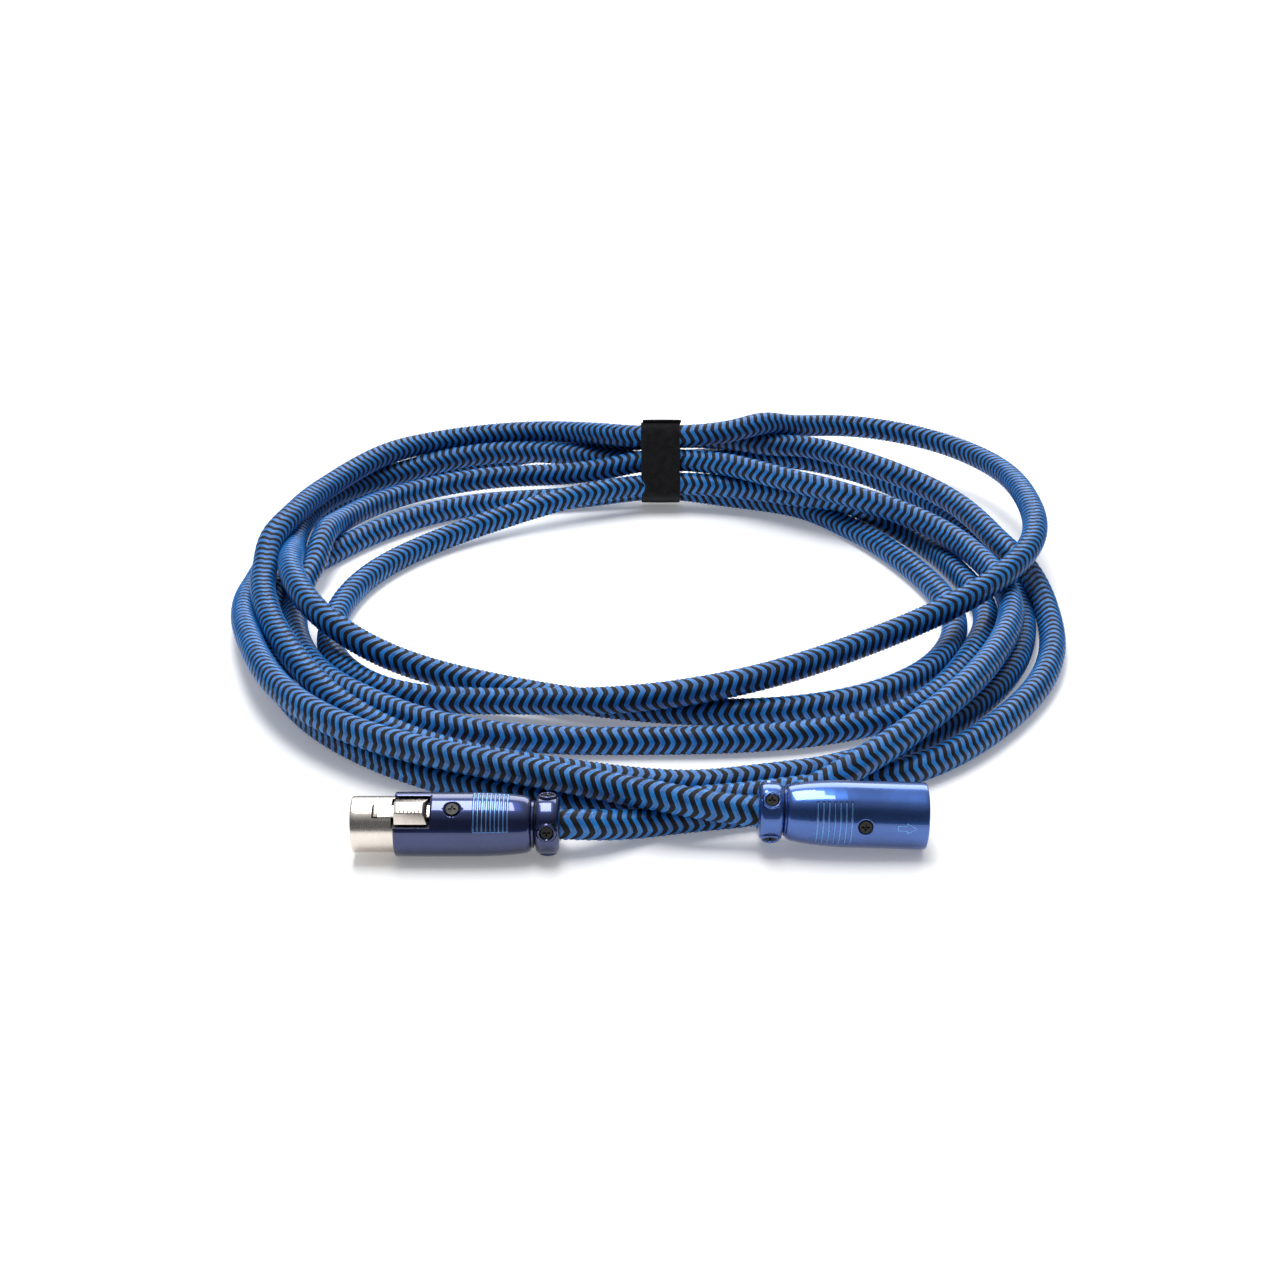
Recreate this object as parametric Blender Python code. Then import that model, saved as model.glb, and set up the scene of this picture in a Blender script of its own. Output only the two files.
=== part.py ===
"""Five metre microphone cable, coiled and tied, with its female and male XLR connectors.

The coil lies flat on z = 0. The connectors lie in front of it, towards -Y, and the tie is at
the back, towards +Y. The origin is under the middle of the whole object.
Sizes are in millimetres and are turned into metres by MM where a mesh is made.
"""

from math import cos, radians, sin, tau

import bmesh
import bpy
from mathutils import Matrix, Vector

MM = 0.001
GAP = 0.3  # clearance between neighbouring pieces

# Cord
CORD_R = 4.5
COIL_CENTRE = (0.0, 7.0)
COIL_STEPS = 72
# Outer shape of the coiled turns every 30 degrees from +X, anticlockwise:
# inner radius, outer radius, height.
COIL_STATIONS = (
    (99, 149, 30), (99, 167, 28), (98, 180, 28), (88, 152, 34),
    (88, 170, 28), (95, 163, 27), (102, 150, 27), (97, 150, 25),
    (77, 151, 20), (73, 148, 20), (80, 151, 20), (90, 150, 25),
)
COIL_EDGE = 1.5  # bevel along the coil's underside
COIL_SHOULDER = 6.0  # bevel along its top
# Routes of the two loose ends, from each connector into the coil.
FEMALE_TAIL = (
    (-25.1, -158.5, 9.5), (-21.5, -158.5, 9.4), (-17, -157.2, 8.4), (-9, -153.2, 6.2),
    (0, -149.2, 4.9), (10, -146.6, 4.7), (22, -143.4, 4.7), (34, -137.6, 4.9), (45, -131.6, 6.2),
    (54, -128, 8.8),
)
MALE_TAIL = (
    (31.1, -154.4, 11.46), (27.5, -154.4, 11.6), (22, -154.2, 12.5), (13, -152.9, 13.8),
    (3, -149.6, 14.2), (-9, -144.8, 14.3), (-20, -140.2, 14.2), (-31, -136.2, 14.1),
)
TAIL_POINTS_PER_SPAN = 2

# Tie round the back of the coil
TIE_X = 6.0
TIE_WIDTH = 16.0
TIE_THICKNESS = 1.8
# Middles (y, z) of the outer cords in the tie, anticlockwise seen from -X; the band is drawn round them.
TIE_CORDS = ((119.5, 6.6), (128.3, 15.2), (130.5, 24.6), (120.5, 28.9), (111.5, 11.5))
TIE_CORNER_POINTS = 5

# Connectors: x runs from the cord's end (0) to the mating end, and the key line is at +z.
FEMALE_SEAT = (-25.4, -158.5, 9.5)
FEMALE_TURN = (-32, 0, 180)
MALE_SEAT = (31.4, -154.4, 11.45)
MALE_TURN = (83, 2, 0)
COLLAR_LENGTH = 7.0
COLLAR_R = 8.45
COLLAR_BORE_R = 6.2
BOSS_R = 2.9
BOSS_TOP = 8.95
BOSS_X = 3.6
CABLE_END = 13.0
CLAMP_ANGLES = (45, 135, 225, 315)
SHELL_START = COLLAR_LENGTH + GAP
FEMALE_SHELL_END = 47.2
FEMALE_SHELL_R = 9.3
FEMALE_SCREW_X = 30.4
NOSE_START = 33.0
NOSE_END = 59.6
NOSE_R = 8.1
NOSE_BORE_R = 7.1
MALE_SHELL_END = 48.6
MALE_SHELL_R = 9.75
MALE_SCREW_X = 30.3
CUP_R = 8.4
CUP_FLOOR = 33.0
PIN_CIRCLE_R = 4.3
PIN_R = 1.2
PIN_ANGLES = (135, 45, 270)
MALE_KEY_ROLL = -83  # turns the pins upright again inside the rolled shell
LATCH_PIVOT = (35.6, 6.3)  # x and z of the latch's hinge
LATCH_TONGUE = 1.9  # half width

COLOURS = {
    "braid": ((0.03, 0.13, 0.42), 0.7, 0.0),
    "tie": ((0.012, 0.012, 0.013), 0.95, 0.0),
    "blue_shell": ((0.01, 0.03, 0.16), 0.22, 0.8),
    "nickel": ((0.75, 0.72, 0.68), 0.2, 1.0),
    "black_plastic": ((0.02, 0.02, 0.022), 0.45, 0.0),
    "black_steel": ((0.03, 0.03, 0.032), 0.3, 0.9),
    "contact_gold": ((0.8, 0.55, 0.2), 0.25, 1.0),
    "spring_steel": ((0.5, 0.5, 0.52), 0.3, 1.0),
    "rubber": ((0.015, 0.015, 0.016), 0.8, 0.0),
    "wire_red": ((0.5, 0.03, 0.03), 0.5, 0.0),
    "wire_blue": ((0.03, 0.08, 0.4), 0.5, 0.0),
    "wire_bare": ((0.7, 0.4, 0.25), 0.4, 1.0),
}


def make_material(name):
    colour, roughness, metallic = COLOURS[name]
    material = bpy.data.materials.new(name)
    material.use_nodes = True
    shader = material.node_tree.nodes["Principled BSDF"]
    shader.inputs["Base Color"].default_value = (*colour, 1.0)
    shader.inputs["Roughness"].default_value = roughness
    shader.inputs["Metallic"].default_value = metallic
    return material


def add_object(name, data, material, parent=None):
    """Link a mesh or curve as a named object; without a material it is a cutter."""
    obj = bpy.data.objects.new(name, data)
    bpy.context.scene.collection.objects.link(obj)
    obj.parent = parent
    if material:
        data.materials.append(make_material(material))
    else:
        obj.hide_render = True
        obj.display_type = "WIRE"
    return obj


def mesh_from(bm, name):
    bmesh.ops.recalc_face_normals(bm, faces=bm.faces)
    mesh = bpy.data.meshes.new(name)
    bm.to_mesh(mesh)
    bm.free()
    mesh.shade_smooth()
    mesh.set_sharp_from_angle(angle=radians(35))
    return mesh


def skin_rings(bm, rings, closed):
    """Join rings of vertices with faces; a ring of one vertex closes to a point."""
    pairs = list(zip(rings, rings[1:]))
    if closed:
        pairs.append((rings[-1], rings[0]))
    for first, second in pairs:
        count = max(len(first), len(second))
        if count == 1:
            continue
        for k in range(count):
            n = (k + 1) % count
            corners = (first[k % len(first)], first[n % len(first)],
                       second[n % len(second)], second[k % len(second)])
            bm.faces.new(tuple(dict.fromkeys(corners)))


def lathe(name, outline, material, parent, centre=(0, 0), sides=32):
    """Turn a closed outline of (x, radius) about an axis along x through centre (y, z)."""
    bm = bmesh.new()
    rings = []
    for x, radius in outline:
        count = sides if radius else 1
        rings.append([
            bm.verts.new(Vector((x,
                                 centre[0] + radius * cos(tau * k / sides),
                                 centre[1] + radius * sin(tau * k / sides))) * MM)
            for k in range(count)
        ])
    skin_rings(bm, rings, closed=True)
    return add_object(name, mesh_from(bm, name), material, parent)


def block(name, low, high, material, parent, taper=1.0):
    """A box between two corners; taper narrows its top in y."""
    bm = bmesh.new()
    bmesh.ops.create_cube(bm, size=1.0)
    low, high = Vector(low), Vector(high)
    for vert in bm.verts:
        narrow = taper if vert.co.z > 0 else 1.0
        place = Vector((low[i] + (vert.co[i] + 0.5) * (high[i] - low[i]) for i in range(3)))
        middle = (low.y + high.y) / 2
        place.y = middle + (place.y - middle) * narrow
        vert.co = place * MM
    return add_object(name, mesh_from(bm, name), material, parent)


def peg(name, start, end, radii, material, parent, sides=16):
    """A round peg from start to end; radii gives (share of the length, radius) steps."""
    start, end = Vector(start), Vector(end)
    turn = (end - start).to_track_quat("Z", "Y")
    bm = bmesh.new()
    rings = []
    for share, radius in ((radii[0][0], 0), *radii, (radii[-1][0], 0)):
        centre = start.lerp(end, share)
        count = sides if radius else 1
        rings.append([
            bm.verts.new((centre + turn @ Vector((radius * cos(tau * k / sides),
                                                  radius * sin(tau * k / sides), 0))) * MM)
            for k in range(count)
        ])
    skin_rings(bm, rings, closed=False)
    return add_object(name, mesh_from(bm, name), material, parent)


def combine(obj, other, operation="DIFFERENCE"):
    modifier = obj.modifiers.new(other.name, "BOOLEAN")
    modifier.operation = operation
    modifier.object = other


def smooth_route(points, per_span):
    """Points along a Catmull-Rom curve through the given points, both ends included."""
    points = [Vector(p) for p in points]
    padded = [2 * points[0] - points[1], *points, 2 * points[-1] - points[-2]]
    route = []
    for p0, p1, p2, p3 in zip(padded, padded[1:], padded[2:], padded[3:]):
        for k in range(per_span):
            t = k / per_span
            route.append(0.5 * (2 * p1 + (p2 - p0) * t + (2 * p0 - 5 * p1 + 4 * p2 - p3) * t ** 2
                                + (3 * p1 - p0 - 3 * p2 + p3) * t ** 3))
    route.append(points[-1])
    return route


def cord(name, points, radius, material, parent=None, resolution=3):
    """A plain tube with filled caps along a smooth route."""
    curve = bpy.data.curves.new(name, "CURVE")
    curve.dimensions = "3D"
    curve.bevel_depth = radius * MM
    curve.bevel_resolution = resolution
    curve.use_fill_caps = True
    route = smooth_route(points, TAIL_POINTS_PER_SPAN)
    spline = curve.splines.new("POLY")
    spline.points.add(len(route) - 1)
    for point, place in zip(spline.points, route):
        point.co = (*(place * MM), 1.0)
    return add_object(name, curve, material, parent)


def tail_bed(name, points):
    """The room that a tail takes in the coil: its tube, wider and longer by the gap."""
    last, before = Vector(points[-1]), Vector(points[-2])
    longer = (*points[:-1], last + (last - before).normalized() * GAP)
    tube = cord(name + "_tube", longer, CORD_R + GAP, None)
    mesh = bpy.data.meshes.new_from_object(tube.evaluated_get(bpy.context.evaluated_depsgraph_get()))
    bpy.data.objects.remove(tube)
    return add_object(name, mesh, None)


def station_values(turn):
    """Inner radius, outer radius and height of the coil at a share of a turn."""
    count = len(COIL_STATIONS)
    place = turn * count
    index = int(place)
    t = place - index
    values = []
    for column in range(3):
        p0, p1, p2, p3 = (COIL_STATIONS[(index + k) % count][column] for k in (-1, 0, 1, 2))
        values.append(0.5 * (2 * p1 + (p2 - p0) * t + (2 * p0 - 5 * p1 + 4 * p2 - p3) * t ** 2
                             + (3 * p1 - p0 - 3 * p2 + p3) * t ** 3))
    return values


def make_coil():
    bm = bmesh.new()
    rings = []
    for step in range(COIL_STEPS):
        inner, outer, height = station_values(step / COIL_STEPS)
        section = (
            (inner + COIL_EDGE, 0), (outer - COIL_EDGE, 0), (outer, COIL_EDGE),
            (outer, height - COIL_SHOULDER), (outer - COIL_SHOULDER, height),
            (inner + COIL_SHOULDER, height), (inner, height - COIL_SHOULDER), (inner, COIL_EDGE),
        )
        angle = tau * step / COIL_STEPS
        rings.append([
            bm.verts.new(Vector((COIL_CENTRE[0] + radius * cos(angle),
                                 COIL_CENTRE[1] + radius * sin(angle), z)) * MM)
            for radius, z in section
        ])
    skin_rings(bm, rings, closed=True)
    coil = add_object("cable_coil", mesh_from(bm, "cable_coil"), "braid")
    combine(coil, tail_bed("female_tail_bed", FEMALE_TAIL))
    combine(coil, tail_bed("male_tail_bed", MALE_TAIL))
    combine(coil, tie_groove())


def tie_section(grow, x):
    """The outline of a band pulled tight round the outer cords and grown by grow, at one x."""
    cords = [Vector(c) for c in TIE_CORDS]
    outline = []
    for before, here, after in zip((cords[-1], *cords), cords, (*cords[1:], cords[0])):
        start = (here - before).orthogonal() * -1
        turn = start.angle_signed((after - here).orthogonal() * -1)
        for k in range(TIE_CORNER_POINTS):
            side = start.normalized()
            side.rotate(Matrix.Rotation(-turn * k / (TIE_CORNER_POINTS - 1), 2))
            outline.append((x, *(here + side * (CORD_R + grow))))
    return outline


def band(name, inner_grow, outer_grow, width, material):
    low, high = TIE_X - width / 2, TIE_X + width / 2
    bm = bmesh.new()
    sections = ((inner_grow, low), (outer_grow, low), (outer_grow, high), (inner_grow, high))
    rings = [[bm.verts.new(Vector(p) * MM) for p in tie_section(grow, x)] for grow, x in sections]
    skin_rings(bm, rings, closed=True)
    return add_object(name, mesh_from(bm, name), material)


def tie_groove():
    """Everything outside the gathered cords, over the width of the tie."""
    return band("tie_groove", -GAP, 60.0, TIE_WIDTH + 2 * GAP, None)


def make_seat(name, place, turn):
    seat = bpy.data.objects.new(name, None)
    bpy.context.scene.collection.objects.link(seat)
    seat.location = Vector(place) * MM
    seat.rotation_euler = [radians(a) for a in turn]
    return seat


def on_axis(x, radius, degrees):
    """A point at a distance from the connector's axis; 90 degrees is the key line."""
    return x, radius * cos(radians(degrees)), radius * sin(radians(degrees))


def phillips(screw, x, top, degrees, parent):
    """Two crossed slots cut into a screw's head."""
    for index in range(2):
        slot = block(f"{screw.name}_slot_{index}", (-1.1, -0.25, -0.8), (1.1, 0.25, 0.6), None, parent)
        slot.location = Vector(on_axis(x, top, degrees)) * MM
        slot.rotation_euler = (radians(degrees - 90), 0, 0)
        if index:
            for vert in slot.data.vertices:
                vert.co.x, vert.co.y = -vert.co.y, vert.co.x
        combine(screw, slot)


def make_collar(prefix, seat):
    """The clamp ring on the cord, its four radial screws and the bush that they press on."""
    middle = COLLAR_LENGTH / 2
    collar = lathe(f"{prefix}_collar", (
        (0, COLLAR_BORE_R), (0, COLLAR_R - 1.6), (0.6, COLLAR_R - 0.6), (middle - 1.4, COLLAR_R),
        (middle + 1.4, COLLAR_R), (COLLAR_LENGTH - 0.6, COLLAR_R - 0.6),
        (COLLAR_LENGTH, COLLAR_R - 1.6), (COLLAR_LENGTH, COLLAR_BORE_R),
    ), "blue_shell", seat, sides=36)
    for number, degrees in enumerate(CLAMP_ANGLES, 1):
        foot = on_axis(BOSS_X, COLLAR_BORE_R + 0.8, degrees)
        top = on_axis(BOSS_X, BOSS_TOP, degrees)
        boss = peg(f"{prefix}_boss_{number}", foot, top, ((0, BOSS_R), (1, BOSS_R)), None, seat)
        combine(collar, boss, "UNION")
        hole = peg(f"{prefix}_clamp_hole_{number}", on_axis(BOSS_X, 4.0, degrees),
                   on_axis(BOSS_X, 12.0, degrees), ((0, 2.0), (1, 2.0)), None, seat)
        combine(collar, hole)
        screw_foot = 5.85 + GAP
        screw_top = BOSS_TOP - 0.5
        screw = peg(f"{prefix}_clamp_screw_{number}", on_axis(BOSS_X, screw_foot, degrees),
                    on_axis(BOSS_X, screw_top, degrees), ((0, 1.2), (0.15, 1.7), (1, 1.7)),
                    "black_steel", seat)
        phillips(screw, BOSS_X, screw_top, degrees, seat)
    lathe(f"{prefix}_bush", ((0.9, 4.75), (0.9, 5.85), (12.0, 5.85), (12.0, 4.75)),
          "rubber", seat, sides=20)
    lathe(f"{prefix}_cable_end", ((0, 0), (0, 4.4), (CABLE_END, 4.4), (CABLE_END, 0)),
          "rubber", seat, sides=20)


def shell_screw(prefix, shell, insert, x, shell_r, seat):
    """The screw on the key line that holds the insert in the shell."""
    for target, depth, radius in ((shell, 0.75, 2.3), (shell, 4.5, 1.35), (insert, 4.5, 1.35)):
        hole = peg(f"{target.name}_screw_hole_{radius}", (x, 0, shell_r - depth), (x, 0, shell_r + 2),
                   ((0, radius), (1, radius)), None, seat)
        combine(target, hole)
    top = shell_r - 0.1
    screw = peg(f"{prefix}_shell_screw", (x, 0, shell_r - 4.0), (x, 0, top),
                ((0, 1.05), (0.89, 1.05), (0.89, 1.95), (1, 1.8)), "black_steel", seat)
    phillips(screw, x, top, 90, seat)


def pin_places(roll):
    for angle in PIN_ANGLES:
        turn = radians(angle + roll)
        yield PIN_CIRCLE_R * cos(turn), PIN_CIRCLE_R * sin(turn)


def make_wires(prefix, cup_x, roll, seat):
    """The cord's three conductors, from the cut end of its jacket to the solder cups."""
    start_x = CABLE_END + GAP
    for colour, (y, z) in zip(("wire_bare", "wire_red", "wire_blue"), pin_places(roll)):
        near = Vector((start_x, 0.4 * y, 0.4 * z))
        far = Vector((cup_x - GAP, y, z))
        step = Vector((1.0, 0, 0))
        cord(f"{prefix}_{colour}", (near, near + step, far - step, far), 0.6, colour, seat, 2)


def make_female():
    seat = make_seat("female_seat", FEMALE_SEAT, FEMALE_TURN)
    make_collar("female", seat)
    shell = lathe("female_shell", (
        (SHELL_START, COLLAR_BORE_R), (SHELL_START, 6.7), (8.1, 6.7), (8.1, 7.0), (8.4, 7.6),
        (9.2, 8.1), (11.0, 8.5), (15.0, 8.9), (23.0, FEMALE_SHELL_R), (46.6, FEMALE_SHELL_R),
        (FEMALE_SHELL_END, 9.0), (FEMALE_SHELL_END, 8.4), (14.5, 8.4), (12.5, COLLAR_BORE_R),
    ), "blue_shell", seat)
    combine(shell, block("latch_window", (36.8, -5.2, 4), (50, 5.2, 12), None, seat))
    insert = lathe("female_insert", (
        (24, 0), (24, 8.1), (32.7, 8.1), (32.7, 6.8), (58.8, 6.8), (58.8, 0),
    ), "black_plastic", seat)
    combine(insert, block("latch_relief", (33.2, -8, 5.4), (54, 8, 10), None, seat))
    shell_screw("female", shell, insert, FEMALE_SCREW_X, FEMALE_SHELL_R, seat)
    for number, centre in enumerate(pin_places(0), 1):
        combine(insert, lathe(f"contact_bore_{number}", ((20, 0), (20, 1.9), (62, 1.9), (62, 0)),
                              None, seat, centre, 12))
        lathe(f"female_contact_{number}", (
            (19, 0), (19, 1.2), (23.5, 1.2), (23.5, 1.6), (57.8, 1.6), (57.8, 1.25), (46, 1.25), (46, 0),
        ), "contact_gold", seat, centre, 12)
    make_wires("female", 19, 0, seat)
    make_nose(seat)
    make_latch(seat)


def make_nose(seat):
    """The mating tube, with the opening that the latch works in."""
    nose = lathe("female_nose", (
        (NOSE_START, NOSE_BORE_R), (NOSE_START, NOSE_R), (58.8, NOSE_R), (59.3, 7.95),
        (NOSE_END, 7.7), (NOSE_END, NOSE_BORE_R),
    ), "nickel", seat)
    combine(nose, block("nose_window_rear", (34.2, -3.4, 4), (38.4, 3.4, 10), None, seat))
    combine(nose, block("nose_window_pad", (36.9, -4.7, 4), (47.8, 4.7, 10), None, seat))
    combine(nose, block("nose_window_hook", (45.0, -2.25, 4), (53.3, 2.25, 10), None, seat))
    x, z = LATCH_PIVOT
    combine(nose, peg("latch_pin_hole", (x, -9, z), (x, 9, z), ((0, 0.9), (1, 0.9)), None, seat))


def make_latch(seat):
    """The sprung locking lever. Its empty stands on the hinge's axis."""
    x, z = LATCH_PIVOT
    pivot = make_seat("latch_pivot", (x, 0, z), (0, 0, 0))
    pivot.parent = seat
    tongue = LATCH_TONGUE
    # Places below are measured from the hinge.
    latch = block("female_latch", (-1.0, -tongue, 0.7), (17.2, tongue, 1.5), "nickel", pivot)
    pieces = (
        block("latch_eye", (-1.0, -tongue, -0.7), (1.1, tongue, 1.2), None, pivot),
        block("latch_pad", (1.8, -4.2, 1.1), (11.3, 4.2, 3.6), None, pivot, taper=0.42),
        block("latch_hook", (16.0, -tongue, 1.2), (17.2, tongue, 2.4), None, pivot),
    )
    for piece in pieces:
        combine(latch, piece, "UNION")
    combine(latch, peg("latch_eye_hole", (0, -4, 0), (0, 4, 0), ((0, 0.68), (1, 0.68)), None, pivot))
    peg("female_latch_pin", (x, -4.9, z), (x, 4.9, z), ((0, 0.55), (1, 0.55)), "spring_steel", seat)
    spring_line = ((38.6, 5.72), (40.0, 5.95), (41.2, 6.0), (43.0, 5.85), (45.6, 5.72))
    bm = bmesh.new()
    rings = [
        [bm.verts.new(Vector((sx, y, sz + lift)) * MM)
         for y, lift in ((-1.5, 0), (1.5, 0), (1.5, 0.22), (-1.5, 0.22))]
        for sx, sz in spring_line
    ]
    skin_rings(bm, rings, closed=False)
    bm.faces.new(rings[0])
    bm.faces.new(rings[-1])
    add_object("female_latch_spring", mesh_from(bm, "female_latch_spring"), "spring_steel", seat)


def make_male():
    seat = make_seat("male_seat", MALE_SEAT, MALE_TURN)
    make_collar("male", seat)
    shell = lathe("male_shell", (
        (SHELL_START, COLLAR_BORE_R), (SHELL_START, 6.9), (7.9, 6.9), (7.9, 7.3), (8.6, 7.9),
        (10.5, 8.4), (13.5, 8.9), (18.5, 9.45), (25.0, MALE_SHELL_R), (47.8, MALE_SHELL_R),
        (MALE_SHELL_END, 9.4), (MALE_SHELL_END, CUP_R), (14.5, CUP_R), (12.5, COLLAR_BORE_R),
    ), "blue_shell", seat)
    insert = lathe("male_insert", ((22, 0), (22, 8.1), (CUP_FLOOR, 8.1), (CUP_FLOOR, 0)),
                   "black_plastic", seat)
    shell_screw("male", shell, insert, MALE_SCREW_X, MALE_SHELL_R, seat)
    for number, centre in enumerate(pin_places(MALE_KEY_ROLL), 1):
        combine(insert, lathe(f"pin_bore_{number}", ((18, 0), (18, 1.7), (40, 1.7), (40, 0)),
                              None, seat, centre, 12))
        lathe(f"male_pin_{number}", (
            (18, 0), (18, 1.2), (24, 1.2), (24, 1.4), (31, 1.4), (31, PIN_R),
            (44.6, PIN_R), (45.3, 0.8), (45.5, 0),
        ), "contact_gold", seat, centre, 12)
    make_wires("male", 18, MALE_KEY_ROLL, seat)


def main():
    for obj in list(bpy.data.objects):
        bpy.data.objects.remove(obj)
    make_coil()
    cord("female_tail", FEMALE_TAIL, CORD_R, "braid")
    cord("male_tail", MALE_TAIL, CORD_R, "braid")
    band("tie_strap", 0.0, TIE_THICKNESS, TIE_WIDTH, "tie")
    make_female()
    make_male()


main()
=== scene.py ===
"""Looks of the coiled microphone cable: braided cord, hook-and-loop tie and both XLR connectors.

Lengths are in millimetres and are turned into metres by MM where a mesh is made.
A connector's local x runs from the cord's end of its collar (0) to the mating end, and its key
line is at local +z.
"""

from math import cos, pi, radians, sin, tau

import bmesh
import bpy
import numpy as np
from mathutils import Euler, Matrix, Vector
from mathutils.kdtree import KDTree


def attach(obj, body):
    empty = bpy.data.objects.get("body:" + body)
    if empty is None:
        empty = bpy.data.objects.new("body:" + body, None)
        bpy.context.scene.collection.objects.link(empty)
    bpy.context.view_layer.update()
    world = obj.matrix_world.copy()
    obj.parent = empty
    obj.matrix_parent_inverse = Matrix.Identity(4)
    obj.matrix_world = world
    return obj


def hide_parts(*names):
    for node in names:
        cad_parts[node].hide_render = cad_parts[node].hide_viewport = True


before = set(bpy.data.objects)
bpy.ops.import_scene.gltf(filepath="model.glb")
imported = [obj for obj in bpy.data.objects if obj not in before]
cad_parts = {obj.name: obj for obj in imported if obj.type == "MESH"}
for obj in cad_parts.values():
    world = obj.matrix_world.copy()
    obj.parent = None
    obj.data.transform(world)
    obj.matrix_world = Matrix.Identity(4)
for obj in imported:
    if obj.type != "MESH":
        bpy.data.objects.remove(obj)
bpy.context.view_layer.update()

MM = 0.001
CABLE, LATCH = "cable", "latch"

# Camera
LOOK_AT = (-2.5, -13.0, 0.0)
CAMERA_DISTANCE = 728.0
CAMERA_ELEVATION = 25.0
CAMERA_LENS = 58.0

# Cord
CORD_D = 9.0
CORD_EXIT = (-25.4, -158.5, 9.5)
# The cord's route from inside the female connector to inside the male one:
# six uneven turns, anticlockwise seen from above, which all pass through the tie at x = 6.
ROUTE = (
    # out of the female connector, under the male end, and up over the right side
    (-41, -158.5, 9.5), (-25.4, -158.5, 9.5), (-21.5, -158.5, 9.4), (-9, -153.2, 6.2), (11, -146.4, 4.7),
    (34, -140, 4.8), (56, -132, 10), (78, -114, 15), (98, -89, 17), (116, -53, 15), (127, -15, 14),
    (124, 22, 14), (104, 63, 15.5), (76, 82, 19), (50, 98, 20), (28, 112, 19.5), (6, 119.5, 19.5),
    (-20, 121, 14), (-55, 125, 10), (-92, 117, 7), (-115, 86, 9), (-123, 46, 12), (-126, 2, 5),
    (-114, -41, 5), (-85, -76, 5),
    # second turn, the innermost at the right
    (-48, -95, 5), (0, -98, 4.6), (45, -95, 5), (84, -78, 5), (109, -40, 5), (121, 0, 5), (115, 40, 5),
    (106, 66, 5), (86, 83, 10.5), (60, 97, 12.5), (34, 108, 12.5), (6, 111.5, 11.5), (-24, 102, 11),
    (-50, 90, 8), (-80, 68, 5), (-103, 34, 4.6), (-111, -5, 4.6), (-101, -49, 4.6),
    # third turn, which rises at the right and swings out behind the tie
    (-78, -67, 5), (-42, -75, 7), (-5, -82, 11.5), (30, -75, 14), (70, -50, 15), (110, -22, 20),
    (138, 15, 24.5), (145, 62, 24), (137, 117, 20), (115, 146, 19.5), (88, 155.5, 21), (61, 145.5, 24.5),
    (34, 128, 28), (6, 120.5, 28.9), (-14, 132, 25.5), (-38, 149, 21), (-72, 152, 18), (-104, 128, 19),
    (-125, 90, 19), (-134, 50, 21), (-138, 10, 15), (-125, -37, 13), (-104, -73, 9),
    # fourth turn, flat at the front
    (-70, -101, 5), (-30, -118, 5), (16, -127, 5), (60, -115, 5), (95, -88, 5), (122, -48, 5),
    (134, 0, 4.6), (133, 46, 4.6), (122, 88, 5), (97, 127, 7.5), (68, 142.5, 10.5), (38, 138.5, 13.5),
    (6, 128.3, 15.2), (-28, 139.5, 13.7), (-58, 146, 13), (-98, 130, 11.5), (-128, 95, 11),
    (-133, 50, 13), (-127, 5, 19), (-112, -30, 18),
    # fifth turn, the innermost at the front
    (-86, -50, 11), (-55, -60, 6), (-22, -71, 5), (30, -78, 4.6), (70, -68, 4.6), (97, -43, 4.6),
    (109, -5, 4.6), (102, 35, 4.6), (84, 76, 4.6), (60, 104, 5), (34, 114, 5.5), (6, 119.5, 6.6),
    (-28, 114, 5), (-70, 106, 4.6), (-103, 81, 4.6), (-124, 50, 4.6), (-136, 14, 4.6),
    (-129, -38, 4.8), (-108, -84, 5), (-78, -114, 5),
    # sixth turn, the outermost
    (-44, -132, 5), (0, -138, 4.8), (42, -131, 4.6), (80, -118, 5), (113, -86, 5), (135, -46, 4.6),
    (142, 0, 7), (132, 46, 13.5), (115, 89, 16.5), (90, 114, 19.5), (62, 137, 19.5), (34, 134, 23.5),
    (6, 130.5, 24.6), (-18, 143, 18), (-44, 161, 8), (-78, 152, 5.5), (-112, 130, 5), (-134, 94, 4.6),
    (-143, 46, 5), (-142, -4, 8), (-131, -50, 12.5), (-112, -88, 14),
    # over the front turns into the male connector
    (-82, -115, 14.2), (-50, -130, 14.2), (-20, -141, 14), (5, -150.5, 13.8), (22, -154, 12.4),
    (31.4, -154.4, 11.46), (47, -154.4, 10.9),
)
ROUTE_STEP = 3.0
SETTLE_ROUNDS = 300
PAIR_ROUNDS = 10  # the close strands are looked up again after this many rounds
PAIR_REACH = 1.25  # and out to this many diameters
SETTLE_KEEP = 0.01  # pull back to the chosen route
SETTLE_STIFFNESS = 0.125
FIXED_POINTS = 6  # at each end, held by the connectors
BRAID_PITCH = 3.3  # from one blue band to the next
BRAID_SIDES = 24
BRAID_WAVES = 3
BRAID_SWING = 1.05  # half of the zigzag's height along the cord
ZIGZAG_CUT = 0.86  # the zigzag's corners are cut off at this share of its height
BRAID_TWIST = 0.35  # turns of the zigzag per metre of cord
# Rings in one repeat of the braid: place in the repeat, radius, and the yarn of the band after it.
BRAID_RINGS = ((0.0, 4.26, 0), (0.25, 4.64, 0), (0.5, 4.26, 1), (0.75, 4.5, 1))
BRAID_PINCH = 0.1  # how far the bands sink at the corners of the zigzag

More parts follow.
